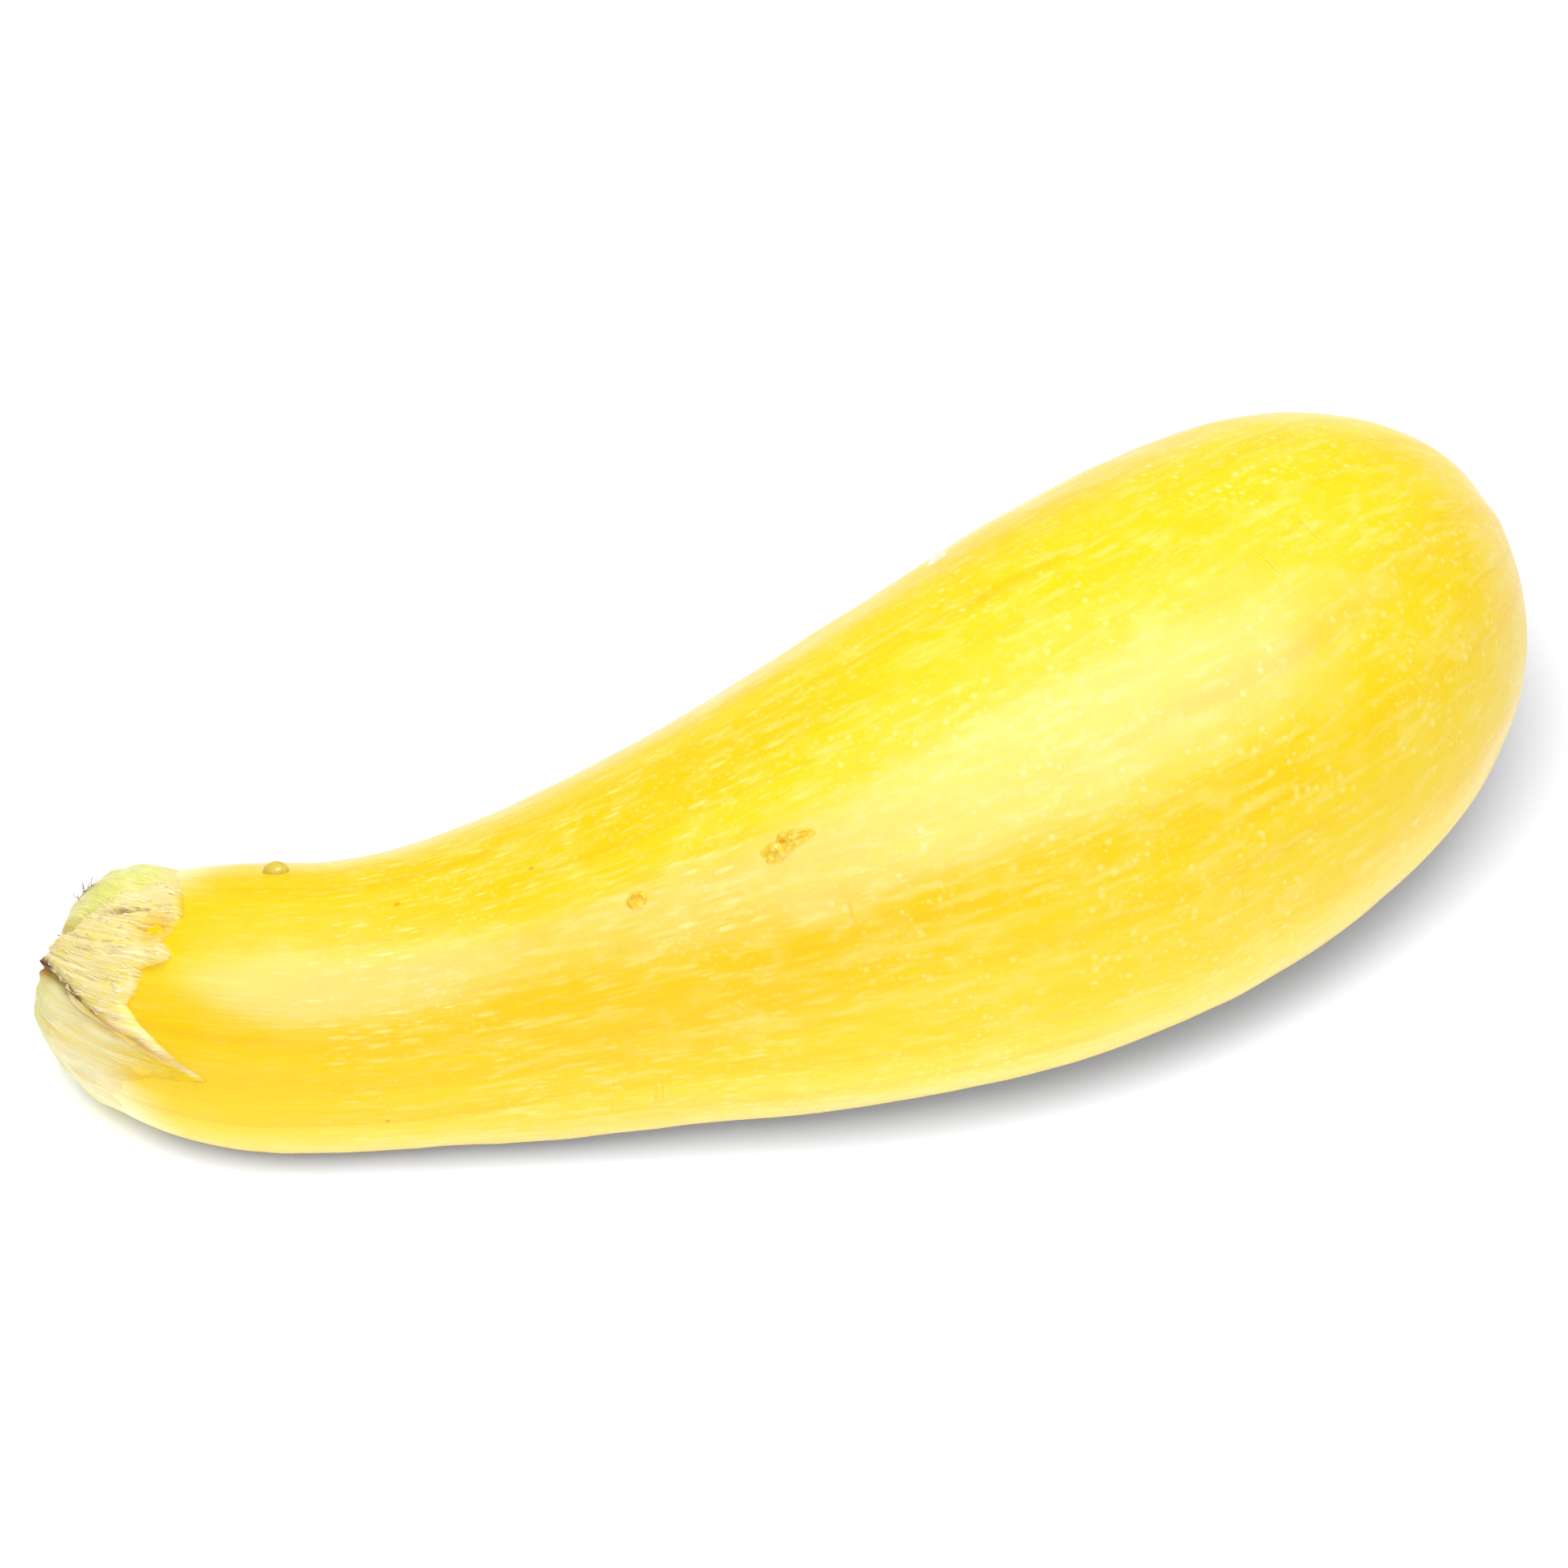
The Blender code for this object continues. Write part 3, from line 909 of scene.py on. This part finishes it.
def fibre_rotation(tree, given, outwards):
    """Along the tissue, strewn a little and leaning outwards."""
    strewn = add_node(tree, "FunctionNodeRandomValue", data_type="FLOAT_VECTOR")
    feed(tree, strewn, {0: (-0.3, -0.3, -0.3), 1: (0.3, 0.3, 0.3), "Seed": given["Seed"]})
    lifted = scaled(tree, outwards, given["Lean Outwards"])
    way = named_value(tree, "fibre_way", "FLOAT_VECTOR")
    aim = vector_maths(tree, "ADD", way, vector_maths(tree, "ADD", strewn.outputs[0], lifted))
    turned = add_node(tree, "FunctionNodeAlignRotationToVector", axis="Z")
    feed(tree, turned, {"Vector": aim})
    return turned.outputs[0]


def swayed(tree, given, fibres):
    """Fibres bent by a little noise."""
    here = add_node(tree, "GeometryNodeInputPosition").outputs[0]
    swirl = add_node(tree, "ShaderNodeTexNoise")
    feed(tree, swirl, {"Vector": here, "Scale": 700.0, "Detail": 1.0})
    sway = vector_maths(tree, "SUBTRACT", swirl.outputs[1], (0.5, 0.5, 0.5))
    bent = add_node(tree, "GeometryNodeSetPosition")
    feed(tree, bent, {"Geometry": fibres, "Offset": scaled(tree, sway, given["Waviness"])})
    return bent.outputs[0]


def fibre_tree(name, sizes):
    """Tapered fibres that lie along the tissue and bend with a little noise."""
    tree, given, out = shape_tree(name, sizes)
    spread = add_node(tree, "GeometryNodeDistributePointsOnFaces", distribute_method="RANDOM")
    share = named_value(tree, given["Where"], "FLOAT")
    density = maths(tree, "MULTIPLY", share, given["Fibres per Square Metre"])
    feed(tree, spread, {"Mesh": given["Geometry"], "Density": density, "Seed": given["Seed"]})
    growth = add_node(tree, "FunctionNodeRandomValue", data_type="FLOAT")
    feed(tree, growth, {2: 0.45, 3: 1.3, "Seed": given["Seed"]})
    placed = add_node(tree, "GeometryNodeInstanceOnPoints")
    feed(tree, placed, {"Points": spread.outputs["Points"], "Instance": one_fibre(tree, given)})
    rotation = fibre_rotation(tree, given, spread.outputs["Normal"])
    feed(tree, placed, {"Rotation": rotation, "Scale": growth.outputs[1]})
    whole = add_node(tree, "GeometryNodeRealizeInstances")
    feed(tree, whole, {"Geometry": placed.outputs[0]})
    smooth = add_node(tree, "GeometryNodeSetShadeSmooth")
    feed(tree, smooth, {"Geometry": swayed(tree, given, whole.outputs[0])})
    painted = add_node(tree, "GeometryNodeSetMaterial")
    feed(tree, painted, {"Geometry": smooth.outputs[0], "Material": given["Fibre Skin"]})
    feed(tree, out, {0: painted.outputs[0]})
    return tree


def make_fibres(name, stem_end, sizes):
    carrier = linked_object(name, stem_end.data.copy())
    return grow(carrier, fibre_tree(name, sizes), sizes)


def make_torn_fibres(stem_end, material):
    sizes = {
        "Fibres per Square Metre": 1.5e6,
        "Fibre Length": 1.7 * MM,
        "Fibre Radius": 0.055 * MM,
        "Lean Outwards": 0.02,
        "Waviness": 0.6 * MM,
        "Seed": 4,
        "Fibre Skin": material,
        "Where": "frayed",
    }
    return make_fibres("torn_fibres", stem_end, sizes)


def make_whiskers(stem_end, material):
    sizes = {
        "Fibres per Square Metre": 0.8e6,
        "Fibre Length": 1.5 * MM,
        "Fibre Radius": 0.06 * MM,
        "Lean Outwards": 0.75,
        "Waviness": 1.2 * MM,
        "Seed": 11,
        "Fibre Skin": material,
        "Where": "dried",
    }
    return make_fibres("dried_whiskers", stem_end, sizes)


# ------------------------------------------------- sap, flake and blossom scar


SCAR_RADIUS = 5.2 * MM


def seated(surface, along, turn, lift):
    """Points at a height over the finished skin, lumps and all."""
    far = raised_point(along, turn, np.full(along.shape, 5.0 * MM))
    near = raised_point(along, turn, np.zeros(along.shape))
    seats = np.empty(far.shape)
    for index in np.ndindex(along.shape):
        inwards = Vector(near[index] - far[index]).normalized()
        hit = surface.ray_cast(Vector(far[index]), inwards)[0]
        seats[index] = (hit or Vector(near[index])) - inwards * lift[index]
    return seats


def round_sheet(rings, sides, whole_turn=math.tau):
    """Shares of a disc's radius and angles round it, without its middle."""
    shares = np.linspace(0.0, 1.0, rings + 1)[1:]
    return np.meshgrid(shares, np.linspace(0.0, whole_turn, sides, endpoint=False), indexing="ij")


def seated_body(surface, name, along, turn, lift, depth, material):
    """A closed body on the skin, with its top raised and its bottom sunk."""
    outer = seated(surface, along, turn, lift * MM)
    inner = seated(surface, along, turn, np.full(lift.shape, -depth * MM))
    mesh = closed_grid(name, outer, inner)
    mesh.shade_smooth()
    mesh.materials.append(material)
    return linked_object(name, mesh)


def patch(surface, name, at, facing, size, height, material, ragged=0.0):
    """A small body at a place on the skin; height(share, around) is in mm."""
    share, around = round_sheet(22, 64)
    rim = np.stack([np.cos(around) * 1.3 + at, np.sin(around) * 1.3, 0.0 * around + 0.5], axis=-1)
    reach = share * (1.0 + ragged * noise_at(rim))
    along = at * MM + reach * np.cos(around) * size[0] * MM / 2.0
    turn = math.radians(facing) + reach * np.sin(around) * size[1] * MM / 2.0 / girth(np.array(at * MM))
    return seated_body(surface, name, along, turn, height(share, around), 0.25, material)


def crumbly(share, around, scale):
    rim = np.stack([np.cos(around), np.sin(around), 0.0 * around], axis=-1)
    return noise_at(rim * (share * scale)[..., None])


def drop_height(share, around):
    return 1.25 * np.sqrt(1.0 - share ** 2) - 0.05


def ring_height(share, around):
    rim = 0.30 * np.exp(-((share - 0.68) / 0.17) ** 2)
    return rim + 0.06 - 0.10 * share ** 6 + 0.05 * crumbly(share, around, 2.0)


def scar_height(share, around):
    crust = 0.42 + 0.55 * crumbly(share, around, 2.6) + 0.22 * crumbly(share, around, 6.0)
    return np.maximum(crust, 0.05) * (1.0 - share ** 5) - 0.05 * share


def flake_height(share, around):
    return 1.7 * (1.0 - share) ** 0.8 * (0.75 + 0.25 * np.cos(around)) - 0.05 * share


def make_blossom_scar(surface, material):
    """The corky disc that the flower left on the round end."""
    share, around = round_sheet(30, 96, -math.tau)
    wander = 1.0 + 0.10 * np.cos(5.0 * around + 0.6) + 0.05 * np.cos(11.0 * around)
    radius = share * SCAR_RADIUS * wander
    inset = (1.0 - (radius / BULB_RADIUS) ** 2) ** (1.0 / BLOSSOM_END_BLUNTNESS)
    along = AXIS_LENGTH - BULB_LENGTH * (1.0 - inset)
    rim = 0.55 * np.exp(-((share - 0.78) / 0.13) ** 2)
    folds = 0.16 * np.cos(5.0 * around + 0.6) * ramp(share, 0.1, 0.6)
    lift = 0.30 + rim + folds - 0.25 * np.exp(-(share / 0.25) ** 2) + 0.25 * crumbly(share, around, 4.0)
    lift = lift * np.sqrt(np.clip(1.0 - share ** 6, 0.0, 1.0)) - 0.06 * share
    return seated_body(surface, "blossom_scar", along, around, lift, 0.4, material)


def straw_fibre(name, dark, light):
    straw = Finish(name, Roughness=0.55)
    tree = straw.tree
    tone = cloudy(tree, straw.place, 900.0, 3.0)
    colour = blended(tree, between(tree, tone, 0.35, 0.65), dark, light)
    fine = cloudy(tree, straw.place, 5000.0, 2.0)
    return straw.finish(Base_Color=colour, Normal=straw.bump(fine, 0.03 * MM))


def amber_sap(name, clear):
    sap = Finish(name, IOR=1.45, Transmission_Weight=clear, Coat_Weight=0.5, Coat_Roughness=0.05)
    tree = sap.tree
    tone = cloudy(tree, sap.place, 1300.0, 4.0, 0.65)
    colour = blended(tree, between(tree, tone, 0.35, 0.65), SAP_AMBER, SAP_YELLOW)
    colour = blended(tree, between(tree, tone, 0.58, 0.72, 0.0, 0.7), colour, SAP_CREAM)
    colour = blended(tree, min(2.0 * clear, 1.0), colour, CLEAR_SAP)
    wet = between(tree, tone, 0.3, 0.7, 0.08, 0.35)
    return sap.finish(Base_Color=colour, Roughness=wet, Normal=sap.bump(tone, 0.12 * MM))


def corky_scar():
    cork = Finish("corky_blossom_scar", Roughness=0.7)
    tree = cork.tree
    tone = cloudy(tree, cork.place, 900.0, 5.0, 0.65)
    colour = blended(tree, between(tree, tone, 0.35, 0.62), CORK_DARK, CORK_LIGHT)
    return cork.finish(Base_Color=colour, Normal=cork.bump(tone, 0.35 * MM))


def make_small_marks(skin):
    """Marks on the skin; at is in millimetres along, facing in degrees."""
    surface = BVHTree.FromObject(skin, bpy.context.evaluated_depsgraph_get())
    clear = amber_sap("clear_sap", 0.4)
    crust = amber_sap("amber_sap_crust", 0.0)
    flake = straw_fibre("papery_flake", FLAKE_TAN, FLAKE_PALE)
    return [
        patch(surface, "sap_drop", 28.0, 63.0, (3.6, 2.4), drop_height, clear),
        patch(surface, "sap_ring", 69.0, 120.0, (2.3, 2.1), ring_height, crust, 0.15),
        patch(surface, "sap_scar", 85.3, 118.5, (5.0, 3.2), scar_height, crust, 0.8),
        patch(surface, "skin_flake", 116.7, 50.0, (3.0, 0.5), flake_height, flake, 0.5),
        make_blossom_scar(surface, corky_scar()),
    ]


# ------------------------------------------------------ studio, floor, camera

VIEW_TURN = math.radians(-15.6)
VIEW_HEIGHT = math.radians(45.0)
VIEW_DISTANCE = 511.8 * MM
FRAMING = Vector((-3.4, 2.05, 1.0)) * MM
LENS = 100.0
LAMP_DISTANCE = 0.9
FLOOR_HALF_WIDTH = 2.0
FLOOR_GAP = 0.02 * MM
PAPER_WHITE = (0.88, 0.88, 0.88, 1.0)
WHITE = (1.0, 1.0, 1.0)
SHINE_TINT = (0.80, 0.38, 1.0)
SKY_GLOW = 0.32


def looking(turn, height):
    """Direction from the squash to a camera or a lamp."""
    return Vector(
        (
            math.sin(turn) * math.cos(height),
            -math.cos(turn) * math.cos(height),
            math.sin(height),
        )
    )


def middle_of_squash():
    low, high = cad_corners()
    return Vector((low + high) / 2.0)


def make_camera():
    camera = bpy.data.objects.new("camera", bpy.data.cameras.new("camera"))
    bpy.context.scene.collection.objects.link(camera)
    camera.data.lens = LENS
    camera.data.clip_start = 0.01
    back = looking(VIEW_TURN, VIEW_HEIGHT)
    camera.location = middle_of_squash() + FRAMING + back * VIEW_DISTANCE
    camera.rotation_euler = (-back).to_track_quat("-Z", "Y").to_euler()
    bpy.context.scene.camera = camera


def softbox(name, turn, height, size, glow, lit, tint=WHITE, shine=False):
    """A lamp aimed at the squash that lights only what is in one collection.

    A shine lamp is seen in the skin's reflections and adds no other light; any
    other lamp lights its things and isn't seen in reflections.
    """
    lamp = bpy.data.lights.new(name, "AREA")
    lamp.shape = "RECTANGLE"
    lamp.size, lamp.size_y = size
    lamp.energy = glow * math.pi * size[0] * size[1]
    lamp.color = tint
    thing = linked_object(name, lamp)
    away = looking(math.radians(turn), math.radians(height))
    thing.location = middle_of_squash() + away * LAMP_DISTANCE
    thing.rotation_euler = (-away).to_track_quat("-Z", "Y").to_euler()
    thing.light_linking.receiver_collection = lit
    thing.visible_glossy = shine
    thing.visible_diffuse = not shine
    thing.visible_camera = False


def gathered(name, things):
    """A collection that only says which things a lamp lights."""
    made = bpy.data.collections.new(name)
    for thing in things:
        made.objects.link(thing)
    return made


def make_floor():
    """White paper just under the squash."""
    mesh = bpy.data.meshes.new("floor")
    level = FLOOR_LEVEL - FLOOR_GAP
    sides = ((-1.0, -1.0), (1.0, -1.0), (1.0, 1.0), (-1.0, 1.0))
    corners = [(x * FLOOR_HALF_WIDTH, y * FLOOR_HALF_WIDTH, level) for x, y in sides]
    mesh.from_pydata(corners, [], [(0, 1, 2, 3)])
    paper = Finish("white_paper", Base_Color=PAPER_WHITE, Roughness=0.9)
    mesh.materials.append(paper.material)
    floor = linked_object("floor", mesh)
    return floor


def light_studio(skin, trimmings, ground):
    """Soft lamps that light the floor, the squash and its shine apart."""
    world = bpy.data.worlds.new("studio")
    world.use_nodes = True
    sky = world.node_tree.nodes["Background"].inputs
    sky["Color"].default_value = (*WHITE, 1.0)
    sky["Strength"].default_value = SKY_GLOW
    bpy.context.scene.world = world
    on_skin = gathered("lit_skin", [skin])
    on_trimmings = gathered("lit_trimmings", trimmings)
    on_squash = gathered("lit_squash", [skin, *trimmings])
    on_ground = gathered("lit_ground", [ground])
    softbox("shine_softbox", 14.5, 68.0, (1.7, 1.0), 9.0, on_skin, SHINE_TINT, shine=True)
    softbox("trimmings_softbox", 14.0, 68.0, (0.6, 0.5), 6.0, on_trimmings, shine=True)
    softbox("back_fill", 165.0, 74.0, (0.9, 0.8), 4.0, on_squash)
    softbox("high_fill", -35.0, 52.0, (0.6, 0.5), 1.7, on_squash)
    softbox("front_fill", 5.0, 8.0, (2.0, 0.3), 1.6, on_squash)
    softbox("ground_softbox", -25.0, 61.0, (0.50, 0.45), 18.0, on_ground)
    bpy.context.scene.view_settings.view_transform = "Standard"


# -------------------------------------------------------------- putting it up


def put_up(piece, node):
    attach(piece, "root")
    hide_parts(node)


skin = make_skin()
skin.visible_diffuse = False  # gives the floor no yellow light, so its shadow stays grey
stem_end = make_stem_end(torn_stem())
torn_fibres = make_torn_fibres(stem_end, straw_fibre("straw_fibre", FIBRE_STRAW, BLEACHED_STRAW))
whiskers = make_whiskers(stem_end, straw_fibre("dried_fibre", WHISKER_DARK, WHISKER_LIGHT))
small_marks = make_small_marks(skin)

for piece in (skin, *small_marks):
    put_up(piece, "fruit")
for piece in (stem_end, torn_fibres, whiskers):
    put_up(piece, "stem_stub")

floor = make_floor()
light_studio(skin, [*small_marks, stem_end, torn_fibres, whiskers], floor)
make_camera()
